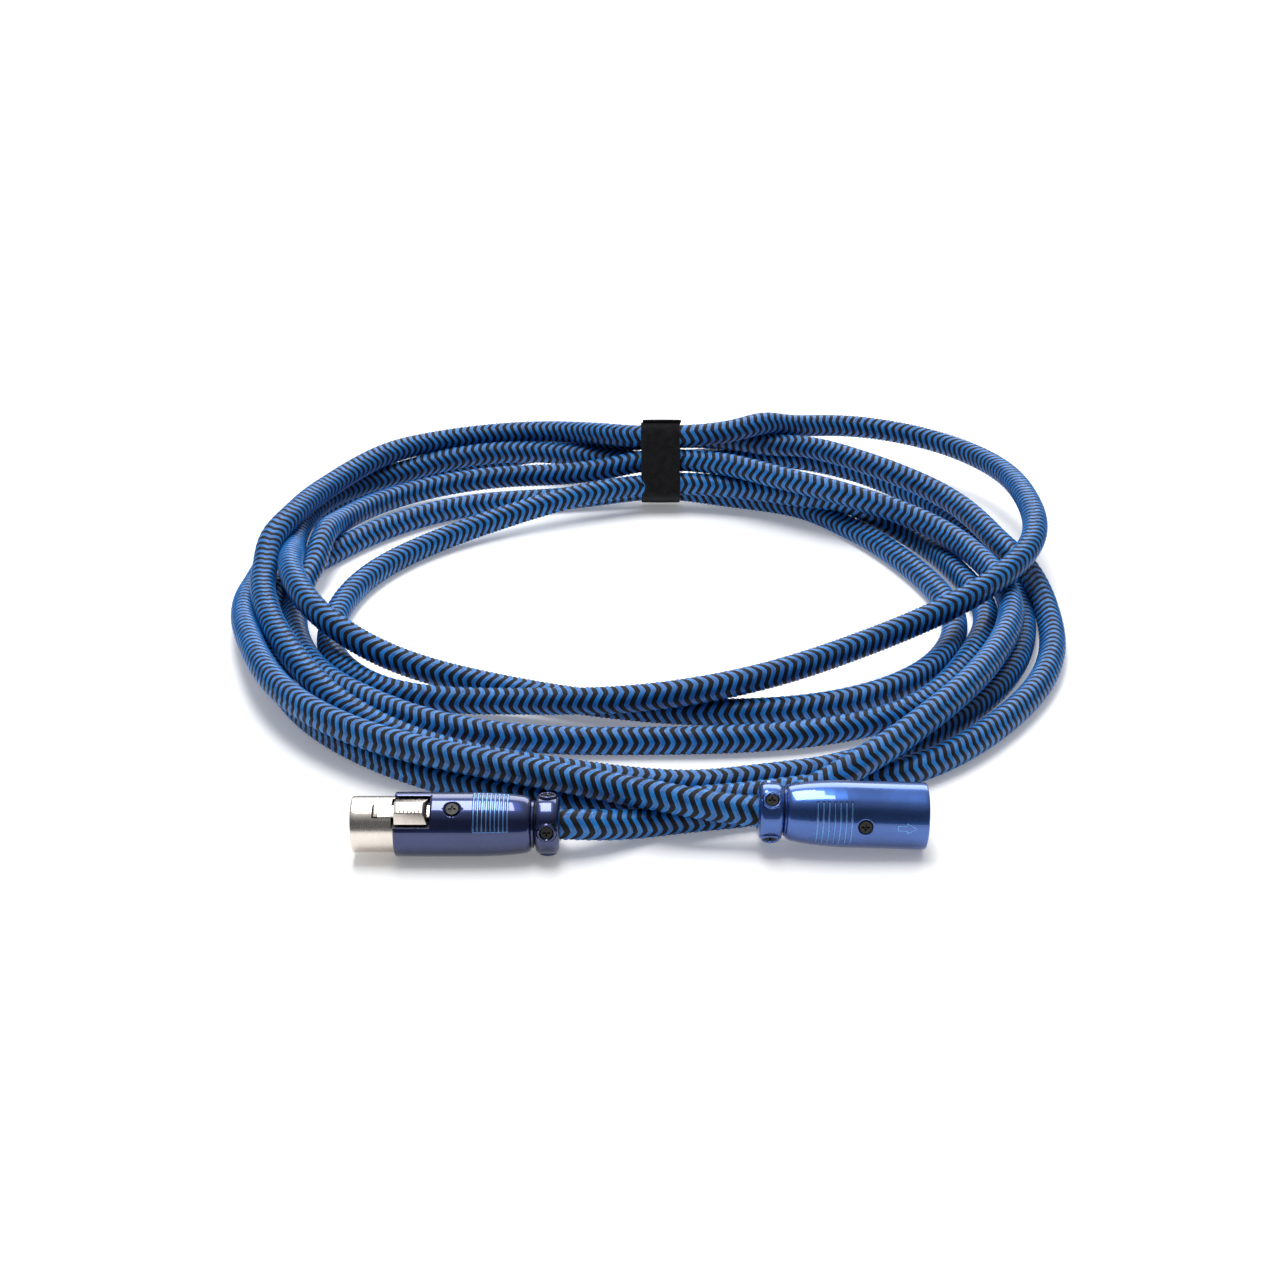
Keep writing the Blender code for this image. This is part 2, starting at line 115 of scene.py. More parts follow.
# Tie, drawn tight round the outer cords of the bundle: their middles (y, z)
TIE_CORDS = ((119.5, 6.6), (128.3, 15.2), (130.5, 24.6), (120.5, 28.9), (111.5, 11.5))
TIE_X, TIE_WIDTH = 6.0, 15.6
TIE_LAYER = 0.75  # thickness of the strip
TIE_EDGE = 0.3  # chamfer of the strip's long edges
TIE_GAP = 0.35  # how far the first layer lies off the cords
TIE_POINTS = 220
TIE_START = 0.42  # where the hidden end lies, as a share of the way round
TIE_TURNS = 1.13
TIE_STEP = 0.85  # how much further out the second layer lies
TIE_LIFT = 0.5  # how far the outer end stands off
TIE_SKEW = 0.7  # how far the strip drifts along the cords in one turn

# Connectors
FEMALE_TURN = (-32, 0, 180)
MALE_SEAT = (31.4, -154.4, 11.45)
MALE_TURN = (83, 2, 0)
COLLAR_LENGTH = 7.0
COLLAR_OUTER_R = 7.7  # the bosses rise only outside this
SHELL_START = 7.3
FEMALE_SHELL_END, FEMALE_SHELL_R = 47.2, 9.3
MALE_SHELL_END, MALE_SHELL_R = 48.6, 9.75
FEMALE_OUTER_R, MALE_OUTER_R = 8.45, 8.6  # the grip lines and recesses are cut only outside this
CUP_R = 8.4
NOSE_START, NOSE_END, NOSE_R, NOSE_BORE_R = 33.0, 59.6, 8.1, 7.1
FEMALE_SCREW_X, MALE_SCREW_X = 30.4, 30.3
SCREW_HOLE_R = 2.05
SCREW_HOLE_SPAN = (6, 12)  # from and to this far from the axis
FEMALE_RECESS, MALE_RECESS = (2.3, 0.45), (2.15, 0.4)  # radius and depth round the shell's screw
BOSS_X, BOSS_TOP, BOSS_R = 3.6, 8.95, 2.9
CLAMP_HOLE_R, CLAMP_HOLE_SPAN = 1.85, (5.3, 11.3)
CLAMP_ANGLES = (45, 135, 225, 315)
LATCH_PIVOT = (35.6, 6.3)
LATCH_WINDOW = (36.8, 5.2)  # where it starts, and half of its width
LATCH_RIBS, LATCH_RIB_STEP = 6, 1.05
LATCH_BORE_R = 0.68
KEY = pi / 2  # the key line's angle about local x
KEY_DEGREES = 90
FEMALE_RIBS, FEMALE_RIB_START, FEMALE_RIB_STEP, FEMALE_RIB_REACH = 9, 14.75, 1.2, 43.0
MALE_LINES, MALE_LINE_START, MALE_LINE_STEP, MALE_LINE_REACH = 7, 16.6, 1.63, 43.6
FEMALE_GROOVE, MALE_GROOVE = (0.36, 0.2), (0.34, 0.16)  # half width and depth of an engraved line
FEMALE_BARE, MALE_BARE = 0.17, 0.15  # half width of the bare metal in it
RIM_STEPS = 4
# The arrow's outline (local x, distance round the shell), going round it one way.
ARROW_SHAPE = ((39.7, -0.6), (39.7, 0.6), (42.3, 0.6), (42.3, 1.3), (44.7, 0.0),
               (42.3, -1.3), (42.3, -0.6))
ARROW_STROKE = 0.22
ARROW_TOP, ARROW_ROOT = 0.035, -0.12  # off the shell's surface

# Studio, in metres
FLOOR_HALF = 12.0
FLOOR_GLOW = 0.22
ROOM_STRENGTH = 0.65
# name, place, target, size and energy
LIGHTS = (
    ("softbox", (-0.11, 0.08, 1.15), (-0.10, -0.02, 0), (0.38, 0.85), 9.5),
    ("back_fill", (0.2, 1.9, 1.3), (0, 0.3, 0), (2.2, 1.2), 25),
)


# ---------------------------------------------------------------- materials

def new_material(name, colour, roughness, metallic=0.0, **sockets):
    """A Principled material, its node tree and its shader."""
    material = bpy.data.materials.new(name)
    material.use_nodes = True
    tree = material.node_tree
    shader = tree.nodes["Principled BSDF"]
    shader.inputs["Base Color"].default_value = (*colour, 1)
    shader.inputs["Roughness"].default_value = roughness
    shader.inputs["Metallic"].default_value = metallic
    for socket, value in sockets.items():
        shader.inputs[socket.replace("_", " ")].default_value = value
    return material, tree, shader


def noise_node(tree, scale, detail=3.0, stretch=(1, 1, 1), source="Object"):
    """Noise on the piece's own coordinates, or on its UV map; stretch scales each axis."""
    where = tree.nodes.new("ShaderNodeTexCoord")
    mapping = tree.nodes.new("ShaderNodeMapping")
    mapping.inputs["Scale"].default_value = stretch
    noise = tree.nodes.new("ShaderNodeTexNoise")
    noise.inputs["Scale"].default_value = scale
    noise.inputs["Detail"].default_value = detail
    tree.links.new(where.outputs[source], mapping.inputs["Vector"])
    tree.links.new(mapping.outputs["Vector"], noise.inputs["Vector"])
    return noise.outputs["Fac"]


def ramp(tree, value, low, high):
    """A value turned into a colour between two stops, each (place, grey or colour)."""
    node = tree.nodes.new("ShaderNodeValToRGB")
    for element, (place, colour) in zip(node.color_ramp.elements, (low, high)):
        element.position = place
        element.color = (*colour, 1) if isinstance(colour, tuple) else (colour, colour, colour, 1)
    tree.links.new(value, node.inputs["Fac"])
    return node.outputs["Color"]


def blend(tree, first, second, share):
    """Two values mixed, with the given share of the second."""
    mix = tree.nodes.new("ShaderNodeMix")
    mix.data_type = "FLOAT"
    mix.inputs[0].default_value = share
    tree.links.new(first, mix.inputs[2])
    tree.links.new(second, mix.inputs[3])
    return mix.outputs[0]


def bump(tree, shader, height, distance, strength, before=None):
    """Relief in the shading, distance in metres; before is another relief to add to."""
    node = tree.nodes.new("ShaderNodeBump")
    node.inputs["Distance"].default_value = distance
    node.inputs["Strength"].default_value = strength
    tree.links.new(height, node.inputs["Height"])
    if before:
        tree.links.new(before, node.inputs["Normal"])
    tree.links.new(node.outputs["Normal"], shader.inputs["Normal"])
    return node.outputs["Normal"]


def yarn_material(name, dark, light, roughness, gloss):
    """Fine filaments that run along each band of the braid, with uneven dye."""
    material, tree, shader = new_material(name, light, roughness, Specular_IOR_Level=gloss)
    filaments = noise_node(tree, 1.0, 2.0, (26, 2.2, 1), "UV")
    patches = noise_node(tree, 350.0, 3.0)
    dye = blend(tree, filaments, patches, 0.35)
    tree.links.new(ramp(tree, dye, (0.36, dark), (0.62, light)), shader.inputs["Base Color"])
    bump(tree, shader, filaments, 0.00022, 0.8)
    return material


def lacquer_material(name, colour, deep):
    """Glossy metallic lacquer with a fine flake and a faint waviness."""
    material, tree, shader = new_material(
        name, colour, 0.3, 0.9, Coat_Weight=1.0, Coat_Roughness=0.03, Coat_IOR=1.6)
    flake = noise_node(tree, 2600.0, 2.0)
    cloud = noise_node(tree, 90.0, 3.0)
    depth = blend(tree, flake, cloud, 0.6)
    tree.links.new(ramp(tree, depth, (0.3, deep), (0.7, colour)), shader.inputs["Base Color"])
    tree.links.new(ramp(tree, cloud, (0.3, 0.22), (0.75, 0.34)), shader.inputs["Roughness"])
    bump(tree, shader, cloud, 0.00001, 0.5)
    return material


def engraving_material(name, colour):
    """The bare bottom of an engraved line."""
    material, tree, shader = new_material(name, colour, 0.32, 0.7)
    grain = noise_node(tree, 1500.0, 3.0)
    light = tuple(min(1.0, 1.35 * c) for c in colour)
    tree.links.new(ramp(tree, grain, (0.3, colour), (0.7, light)), shader.inputs["Base Color"])
    return material


def nickel_material():
    """Satin nickel, brushed round the axis and unevenly toned."""
    material, tree, shader = new_material("satin_nickel", (0.82, 0.75, 0.67), 0.26, 1.0)
    brushed = noise_node(tree, 300.0, 4.0, (12, 1, 1))
    stain = noise_node(tree, 70.0, 4.0)
    tree.links.new(ramp(tree, brushed, (0.3, 0.22), (0.75, 0.29)), shader.inputs["Roughness"])
    tree.links.new(ramp(tree, stain, (0.35, (0.74, 0.67, 0.60)), (0.65, (0.84, 0.77, 0.70))),
                   shader.inputs["Base Color"])
    bump(tree, shader, brushed, 0.000005, 0.3)
    return material


def plain_metal(name, colour, roughness, metallic=1.0):
    """Machined metal with a little uneven polish."""
    material, tree, shader = new_material(name, colour, roughness, metallic)
    marks = noise_node(tree, 900.0, 3.0)
    polish = ramp(tree, marks, (0.3, roughness * 0.7), (0.7, roughness * 1.3))
    tree.links.new(polish, shader.inputs["Roughness"])
    dark = tuple(0.7 * c for c in colour)
    tree.links.new(ramp(tree, marks, (0.3, dark), (0.7, colour)), shader.inputs["Base Color"])
    bump(tree, shader, marks, 0.00002, 0.4)
    return material


def plastic_material(name, colour, roughness):
    """Moulded plastic or rubber with a fine grain."""
    material, tree, shader = new_material(name, colour, roughness)
    grain = noise_node(tree, 2200.0, 3.0)
    light = tuple(1.6 * c for c in colour)
    tree.links.new(ramp(tree, grain, (0.35, colour), (0.75, light)), shader.inputs["Base Color"])
    bump(tree, shader, grain, 0.00003, 0.5)
    return material


def tie_material():
    """Napped loop tape: short matted fibres and a soft sheen."""
    material, tree, shader = new_material(
        "tie_nap", (0.012, 0.012, 0.013), 0.95,
        Specular_IOR_Level=0.15, Sheen_Weight=0.06, Sheen_Roughness=0.5)
    fibres = noise_node(tree, 2400.0, 5.0)
    matting = noise_node(tree, 420.0, 4.0)
    tree.links.new(ramp(tree, matting, (0.35, (0.006, 0.006, 0.007)), (0.7, (0.012, 0.012, 0.013))),
                   shader.inputs["Base Color"])
    soft = bump(tree, shader, matting, 0.0005, 0.6)
    bump(tree, shader, fibres, 0.0003, 0.9, soft)
    return material


BLUE_YARN = yarn_material("blue_yarn", (0.006, 0.080, 0.31), (0.018, 0.290, 0.84), 0.34, 0.6)
BLACK_YARN = yarn_material("black_yarn", (0.003, 0.003, 0.005), (0.010, 0.010, 0.013), 0.55, 0.25)
FEMALE_BLUE = lacquer_material("female_lacquer", (0.017, 0.034, 0.145), (0.012, 0.024, 0.105))
MALE_BLUE = lacquer_material("male_lacquer", (0.040, 0.125, 0.44), (0.028, 0.09, 0.33))
ENGRAVED = engraving_material("engraved_line", (0.13, 0.30, 0.62))
NICKEL = nickel_material()
BLACK_STEEL = plain_metal("black_steel", (0.028, 0.026, 0.025), 0.34, 0.6)
GOLD = plain_metal("contact_gold", (0.85, 0.60, 0.25), 0.22)
SPRING = plain_metal("spring_steel", (0.55, 0.55, 0.56), 0.25)
COPPER = plain_metal("bare_copper", (0.75, 0.42, 0.27), 0.35)
BLACK_PLASTIC = plastic_material("black_plastic", (0.016, 0.016, 0.018), 0.42)
RUBBER = plastic_material("black_rubber", (0.013, 0.013, 0.014), 0.75)
RED_WIRE = plastic_material("red_insulation", (0.42, 0.025, 0.025), 0.45)
BLUE_WIRE = plastic_material("blue_insulation", (0.025, 0.07, 0.36), 0.45)
TIE_NAP = tie_material()


# ---------------------------------------------------------------- mesh helpers

def add_piece(name, mesh, materials, body, slot, *replaced):
    """Link a finished mesh as a piece that rides on a CAD body."""
    piece = bpy.data.objects.new(name, mesh)
    bpy.context.scene.collection.objects.link(piece)
    for material in materials:
        mesh.materials.append(material)
    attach(piece, body)
    if replaced:
        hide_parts(*replaced)
    return piece


def with_materials(mesh, *materials):
    for material in materials:
        mesh.materials.append(material)
    return mesh


def place_solid(name, mesh, seat, slot, *replaced, body=CABLE):
    """Add a mesh made on a connector's own axes."""
    mesh.set_sharp_from_angle(angle=radians(38))
    mesh.transform(seat)
    add_piece(name, mesh, (), body, slot, *replaced)


def grid_mesh(name, points, closed_rows, picks=None, caps=False):
    """A tube from a (rows, columns, 3) array in millimetres.

    picks gives the material of each face, and caps closes the first and the last row.
    """
    rows, columns = points.shape[:2]
    row, column = np.meshgrid(np.arange(rows if closed_rows else rows - 1),
                              np.arange(columns), indexing="ij")
    next_row, next_column = (row + 1) % rows, (column + 1) % columns
    faces = np.stack([row * columns + column, row * columns + next_column,
                      next_row * columns + next_column, next_row * columns + column], -1).reshape(-1, 4)
    loops, starts = faces.ravel(), np.arange(len(faces)) * 4
    if caps:
        ends = np.concatenate([np.arange(columns)[::-1], (rows - 1) * columns + np.arange(columns)])
        starts = np.concatenate([starts, len(loops) + np.array([0, columns])])
        loops = np.concatenate([loops, ends])
    mesh = bpy.data.meshes.new(name)
    mesh.vertices.add(rows * columns)
    mesh.vertices.foreach_set("co", (points * MM).astype(np.float32).ravel())
    mesh.loops.add(len(loops))
    mesh.loops.foreach_set("vertex_index", loops.astype(np.int32))
    mesh.polygons.add(len(starts))
    mesh.polygons.foreach_set("loop_start", starts.astype(np.int32))
    if picks is not None:
        picks = np.broadcast_to(picks, row.shape).ravel()
        picks = np.concatenate([picks, np.zeros(len(starts) - len(picks), int)])
        mesh.polygons.foreach_set("material_index", picks.astype(np.int32))
    mesh.update(calc_edges=True)
    mesh.validate()
    mesh.shade_smooth()
    return mesh


def finish_solid(mesh, sharp=35):
    """Turn every face outwards and keep the edges crisp that are sharper than the given angle."""
    bm = bmesh.new()
    bm.from_mesh(mesh)
    bmesh.ops.recalc_face_normals(bm, faces=bm.faces)
    bm.to_mesh(mesh)
    bm.free()
    mesh.shade_smooth()
    mesh.set_sharp_from_angle(angle=radians(sharp))


def loop_vertices(mesh):
    """The vertex of each corner of each face."""
    found = np.empty(len(mesh.loops), np.int32)
    mesh.loops.foreach_get("vertex_index", found)
    return found


def soft_step(value, low, high):
    """0 below low, 1 above high, and a smooth rise between."""
    t = np.clip((value - low) / (high - low), 0, 1)
    return t * t * (3 - 2 * t)


def turn_from(angle, degrees):
    """Signed turn in radians from an angle given in degrees."""
    return (angle - radians(degrees) + pi) % tau - pi


def refined(outline, step, fine=()):
    """The outline of (x, radius) with a point every step, or closer in the fine spans of x."""
    borders = [edge for low, high, _ in fine for edge in (low, high)]
    dense = []
    for (x0, r0), (x1, r1) in zip(outline, outline[1:]):
        inside = sorted((b for b in borders if min(x0, x1) < b < max(x0, x1)), reverse=x1 < x0)
        shares = [0.0, *((b - x0) / (x1 - x0) for b in inside), 1.0]
        length = ((x1 - x0) ** 2 + (r1 - r0) ** 2) ** 0.5
        for start, end in zip(shares, shares[1:]):
            middle = x0 + (x1 - x0) * (start + end) / 2
            spacing = min([step] + [s for low, high, s in fine if low <= middle <= high])
            count = max(1, round(length * (end - start) / spacing))
            for k in range(count):
                t = start + (end - start) * k / count
                dense.append((x0 + (x1 - x0) * t, r0 + (r1 - r0) * t))
    return np.array(dense + [outline[-1]])


def rim(x, radius, size):
    """Points of a rounded rim, from the outer side round to the face at x."""
    turn = [tau / 4 * k / RIM_STEPS for k in range(RIM_STEPS + 1)]
    return [(x - size * (1 - sin(a)), radius - size * (1 - cos(a))) for a in turn]


def turned(name, outline, angles, relief=None, mark=None):
    """Turn a dense closed outline of (x, radius) about local x.

    relief(x, radius, angle) adds to the radius, and mark(x, radius, angle) is true for the faces
    that take the second material.
    """
    x, radius = outline[:, :1], outline[:, 1:]
    angle = np.asarray(angles)[None, :]
    full = radius + (relief(x, radius, angle) if relief else 0) + 0 * angle
    points = np.stack([x + 0 * angle, full * np.cos(angle), full * np.sin(angle)], -1)
    picks = None
    if mark:
        middle_x = (x + np.roll(x, -1, 0)) / 2
        middle_r = (radius + np.roll(radius, -1, 0)) / 2
        middle_angle = angle + (np.roll(angle, -1, 1) - angle) % tau / 2
        picks = mark(middle_x, middle_r, middle_angle).astype(int)
    return grid_mesh(name, points, True, picks)


def even_angles(count):
    """Angles all round the axis, from the key line on."""
    return KEY + np.arange(count) * tau / count


def key_angles(spans):
    """Angles all round the axis, with their own spacing in each (reach, spacing) span from the key line."""
    side = [0.0]
    for reach, spacing in spans:
        count = max(1, round((reach - side[-1]) / spacing))
        start = side[-1]
        side += [start + (reach - start) * (k + 1) / count for k in range(count)]
    half = np.radians(side)
    return KEY + np.concatenate([half, -half[-2:0:-1]])


def seat_matrix(place, turn):
    """From a connector's own axes to the object's: place in millimetres, turn in degrees."""
    return Matrix.Translation(Vector(place) * MM) @ Euler([radians(a) for a in turn]).to_matrix().to_4x4()


def evaluated(piece):
    """The piece's mesh with its modifiers applied, as a new mesh; the piece is removed."""
    graph = bpy.context.evaluated_depsgraph_get()
    mesh = bpy.data.meshes.new_from_object(piece.evaluated_get(graph), depsgraph=graph)
    bpy.data.objects.remove(piece)
    return mesh


def scratch(mesh):
    """A loose object for modelling with modifiers."""
    piece = bpy.data.objects.new("scratch", mesh)
    bpy.context.scene.collection.objects.link(piece)
    return piece


def carved(mesh, cuts, operation="DIFFERENCE"):
    """The mesh after a Boolean step with each of the cut meshes."""
    for cut in cuts:
        piece, cutter = scratch(mesh), scratch(cut)
        modifier = piece.modifiers.new("cut", "BOOLEAN")
        modifier.operation = operation
        modifier.object = cutter
        mesh = evaluated(piece)
        bpy.data.objects.remove(cutter)
    return mesh


def rod_mesh(x, degrees, span, radius):
    """A round rod that points out from the axis at x, and spans two distances from the axis."""
    start, end = span
    bm = bmesh.new()
    bmesh.ops.create_cone(bm, cap_ends=True, segments=32, radius1=radius * MM, radius2=radius * MM,
                          depth=(end - start) * MM)
    way = Vector((0, cos(radians(degrees)), sin(radians(degrees))))
    place = Matrix.Translation((Vector((x, 0, 0)) + way * (start + end) / 2) * MM)
    bm.transform(place @ way.to_track_quat("Z", "X").to_matrix().to_4x4())
    mesh = bpy.data.meshes.new("rod")
    bm.to_mesh(mesh)
    bm.free()
    return mesh


def box_mesh(low, high, edge=0.0, taper=1.0, slant=0.0):
    """A box between two corners, with rounded edges.

    taper narrows its top, and slant moves the top of its low-x end along x.
    """
    bm = bmesh.new()
    bmesh.ops.create_cube(bm, size=1.0)
    low, high = Vector(low), Vector(high)
    for vert in bm.verts:
        top = vert.co.z > 0
        place = Vector([low[i] + (vert.co[i] + 0.5) * (high[i] - low[i]) for i in range(3)])
        middle = (low.y + high.y) / 2
        place.y = middle + (place.y - middle) * (taper if top else 1)
        place.x += slant if top and vert.co.x < 0 else 0
        vert.co = place * MM
    if edge:
        bmesh.ops.bevel(bm, geom=bm.edges, offset=edge * MM, segments=3, profile=0.5, affect="EDGES")
    mesh = bpy.data.meshes.new("box")
    bm.to_mesh(mesh)
    bm.free()
    return mesh


# ---------------------------------------------------------------- cord

def natural_spline(points, step):
    """Evenly spaced points on the natural cubic spline through the given ones."""
    points = np.array(points, float)
    gaps = np.linalg.norm(np.diff(points, axis=0), axis=1)
    knots = np.concatenate([[0], np.cumsum(gaps)])
    count = len(points)
    system, right = np.eye(count), np.zeros((count, 3))
    for i in range(1, count - 1):
        system[i, i - 1:i + 2] = gaps[i - 1], 2 * (gaps[i - 1] + gaps[i]), gaps[i]
        right[i] = 6 * ((points[i + 1] - points[i]) / gaps[i] - (points[i] - points[i - 1]) / gaps[i - 1])
    bend = np.linalg.solve(system, right)
    at = np.linspace(0, knots[-1], int(knots[-1] / step) + 1)
    i = np.clip(np.searchsorted(knots, at, side="right") - 1, 0, count - 2)
    gap = gaps[i][:, None]
    after = (at - knots[i])[:, None]
    before = gap - after
    return ((bend[i] * before ** 3 + bend[i + 1] * after ** 3) / (6 * gap)
            + (points[i] / gap - bend[i] * gap / 6) * before
            + (points[i + 1] / gap - bend[i + 1] * gap / 6) * after)


def close_pairs(line, reach, skip):
    """Pairs of points nearer than reach that are more than skip apart along the line."""
    tree = KDTree(len(line))
    for i, point in enumerate(line):
        tree.insert(point, i)
    tree.balance()
    pairs = [(i, j) for i, point in enumerate(line)
             for _, j, _ in tree.find_range(point, reach) if j > i + skip]
    return np.array(pairs, int).reshape(-1, 2)


def settled(line):
    """Let the cord come to rest: strands push apart to one diameter and lie on the floor."""
    home, line = line.copy(), line.copy()
    skip = int(3 * CORD_D / ROUTE_STEP)  # points this near along the cord don't push each other
    for turn in range(SETTLE_ROUNDS):
        if turn % PAIR_ROUNDS == 0:
            pairs = close_pairs(line, CORD_D * PAIR_REACH, skip)
        first, second = pairs.T
        apart = line[first] - line[second]
        length = np.maximum(np.linalg.norm(apart, axis=1), 1e-6)[:, None]
        short = np.maximum(CORD_D - length, 0)
        step = short / length * 0.5 * apart
        push, touches = np.zeros_like(line), np.zeros(len(line))
        np.add.at(push, first, step)
        np.add.at(push, second, -step)
        np.add.at(touches, pairs.ravel(), np.repeat(short[:, 0] > 0, 2))
        line += push / np.maximum(touches, 1)[:, None]
        bend = line[:-4] - 4 * line[1:-3] + 6 * line[2:-2] - 4 * line[3:-1] + line[4:]
        line[2:-2] -= SETTLE_STIFFNESS * bend
        line += SETTLE_KEEP * (home - line)
        line[:, 2] = np.maximum(line[:, 2], CORD_D / 2)
        line[:FIXED_POINTS], line[-FIXED_POINTS:] = home[:FIXED_POINTS], home[-FIXED_POINTS:]
    return line


def carried_frames(line):
    """Two cross directions at each point, carried along the line without twist."""
    ahead = np.gradient(line, axis=0)
    ahead /= np.linalg.norm(ahead, axis=1)[:, None]
    across = np.empty_like(line)
    across[0] = np.cross(ahead[0], (0, 0, 1))
    for i in range(1, len(line)):
        across[i] = across[i - 1] - ahead[i] * (across[i - 1] @ ahead[i])
        across[i] /= np.linalg.norm(across[i])
    return across, np.cross(ahead, across)


def braid_mesh(line):
    """A tube whose rings follow the zigzag, so that each blue and black band is its own faces."""
    along = np.concatenate([[0], np.cumsum(np.linalg.norm(np.diff(line, axis=0), axis=1))])
    across, upward = carried_frames(line)
    repeats = int((along[-1] - 2 * BRAID_SWING) / BRAID_PITCH) - 1
    places, radii, yarns = (np.tile([ring[k] for ring in BRAID_RINGS], repeats) for k in range(3))
    places = (places + np.repeat(np.arange(repeats), len(BRAID_RINGS))) * BRAID_PITCH
    places += (along[-1] - places[-1]) / 2
    side = np.arange(BRAID_SIDES) / BRAID_SIDES
    phase = (side * BRAID_WAVES) % 1
    zigzag = np.clip(4 * np.abs(phase - 0.5) - 1, -ZIGZAG_CUT, ZIGZAG_CUT) / ZIGZAG_CUT
    at = np.clip(places[:, None] + BRAID_SWING * zigzag, 0, along[-1])
    angle = tau * (side[None, :] + BRAID_TWIST * at * MM)
    radius = radii[:, None] - BRAID_PINCH * np.abs(zigzag) ** 3
    middle, side_way, up_way = (
        np.stack([np.interp(at, along, vectors[:, k]) for k in range(3)], -1)
        for vectors in (line, across, upward))
    outward = side_way * np.cos(angle)[..., None] + up_way * np.sin(angle)[..., None]
    points = middle + radius[..., None] * outward
    mesh = grid_mesh("cord", points, False, yarns[:-1, None], caps=True)
    # The UV map straightens the zigzag: u counts repeats along the cord and v waves round it.
    # Second and third corners of a face that are back on column 0 lie one whole turn further on.
    rows, columns = np.divmod(loop_vertices(mesh), BRAID_SIDES)
    wrap = np.zeros(len(rows))
    body = len(rows) - 2 * BRAID_SIDES
    wrap[:body] = (columns[:body] == 0) & (np.arange(body) % 4 % 3 > 0)
    uv = np.stack([places[rows] / BRAID_PITCH % 64, (columns / BRAID_SIDES + wrap) * BRAID_WAVES], -1)
    mesh.uv_layers.new(name="braid").data.foreach_set("uv", uv.astype(np.float32).ravel())
    return mesh


def make_cord():
    """The whole cord as one piece."""
    line = settled(natural_spline(ROUTE, ROUTE_STEP))
    smooth = natural_spline(line, 1.0)
    cord = add_piece("braided_cord", braid_mesh(smooth), (BLUE_YARN, BLACK_YARN), CABLE, "braid",
                     "cable_coil", "female_tail", "male_tail", "female_cable_end", "male_cable_end")


# ---------------------------------------------------------------- connectors

def groove_depth(x, angle, lines, groove, reach):
    """Engraved lines across the key line, at the given places in x, out to reach degrees each way."""
    half_width, depth = groove
    across = np.min([np.abs(x - line) for line in lines], axis=0)
    inside = 1 - soft_step(np.abs(turn_from(angle, KEY_DEGREES)), radians(reach) - 0.03, radians(reach))
    return depth * (1 - soft_step(across, 0.55 * half_width, half_width)) * inside


def recess_depth(x, angle, centre, recess, shell_r):
    """A round recess with steep sides on the key line."""
    radius, depth = recess
    away = np.hypot(x - centre, shell_r * turn_from(angle, KEY_DEGREES))
    return depth * (1 - soft_step(away, radius - 0.25, radius + 0.3))


def window_chamfer(x, angle, window, shell_r, width=0.55, depth=0.3):
    """A chamfer round a window on the key line that runs out through the shell's end."""
    low, half = window
    side = np.abs(shell_r * np.sin(turn_from(angle, KEY_DEGREES))) - half
    outside = np.hypot(np.maximum(side, 0), np.maximum(low - x, 0))
    behind = np.abs(turn_from(angle, KEY_DEGREES)) > pi / 2
    return np.where(behind, 0, depth * np.clip(1 - outside / width, 0, 1))


def shell_outline(outer, inner, fine):
    """A shell's closed outline, dense on its outer side."""
    return np.concatenate([refined(outer, 0.9, fine), refined(inner, 4.0)])


def make_female_shell(seat):
    ribs = [FEMALE_RIB_START + FEMALE_RIB_STEP * k for k in range(FEMALE_RIBS)]

    def relief(x, radius, angle):
        cut = groove_depth(x, angle, ribs, FEMALE_GROOVE, FEMALE_RIB_REACH)
        cut = cut + recess_depth(x, angle, FEMALE_SCREW_X, FEMALE_RECESS, FEMALE_SHELL_R)
        cut = cut + window_chamfer(x, angle, LATCH_WINDOW, FEMALE_SHELL_R)
        return -np.where(radius > FEMALE_OUTER_R, cut, 0)

    def mark(x, radius, angle):
        away = np.abs(turn_from(angle, KEY_DEGREES))
        across = np.min([np.abs(x - rib) for rib in ribs], axis=0)
        line = (across < FEMALE_BARE) & (away < radians(FEMALE_RIB_REACH) - 0.03)
        beside = (x > ribs[0] - 0.3) & (x < ribs[-1] + 0.3)
        border = (np.abs(away - radians(FEMALE_RIB_REACH)) < 0.012) & beside
        return (line | border) & (radius > FEMALE_OUTER_R)

    # (x, radius) from the collar's end to the mating end, and back inside
    outer = [(SHELL_START, 6.2), (SHELL_START, 6.6), (7.5, 6.8), (8.1, 6.9), (8.25, 7.3), (8.6, 7.75),
             (9.2, 8.1), (10, 8.32), (11, 8.5), (12.8, 8.72), (15, 8.92), (17.5, 9.08), (20, 9.2),
             (23, FEMALE_SHELL_R), *rim(FEMALE_SHELL_END, FEMALE_SHELL_R, 0.5), (FEMALE_SHELL_END, 8.5)]
    inner = [(FEMALE_SHELL_END, 8.4), (14.5, 8.4), (12.5, 6.2)]
    fine = ((ribs[0] - 0.6, ribs[-1] + 0.6, 0.11), (27.8, 33.0, 0.12), (36.0, 37.2, 0.12))
    angles = key_angles(((FEMALE_RIB_REACH - 3, 1.2), (FEMALE_RIB_REACH + 3, 0.8), (180, 5)))
    mesh = turned("female_shell", shell_outline(outer, inner, fine), angles, relief, mark)
    finish_solid(mesh)
    low, half = LATCH_WINDOW
    window = box_mesh((low, -half, 4), (50, half, 12))
    screw_hole = rod_mesh(FEMALE_SCREW_X, KEY_DEGREES, SCREW_HOLE_SPAN, SCREW_HOLE_R)
    mesh = carved(with_materials(mesh, FEMALE_BLUE, ENGRAVED), [window, screw_hole])
    place_solid("female_shell_skin", mesh, seat, "blue_shell", "female_shell")


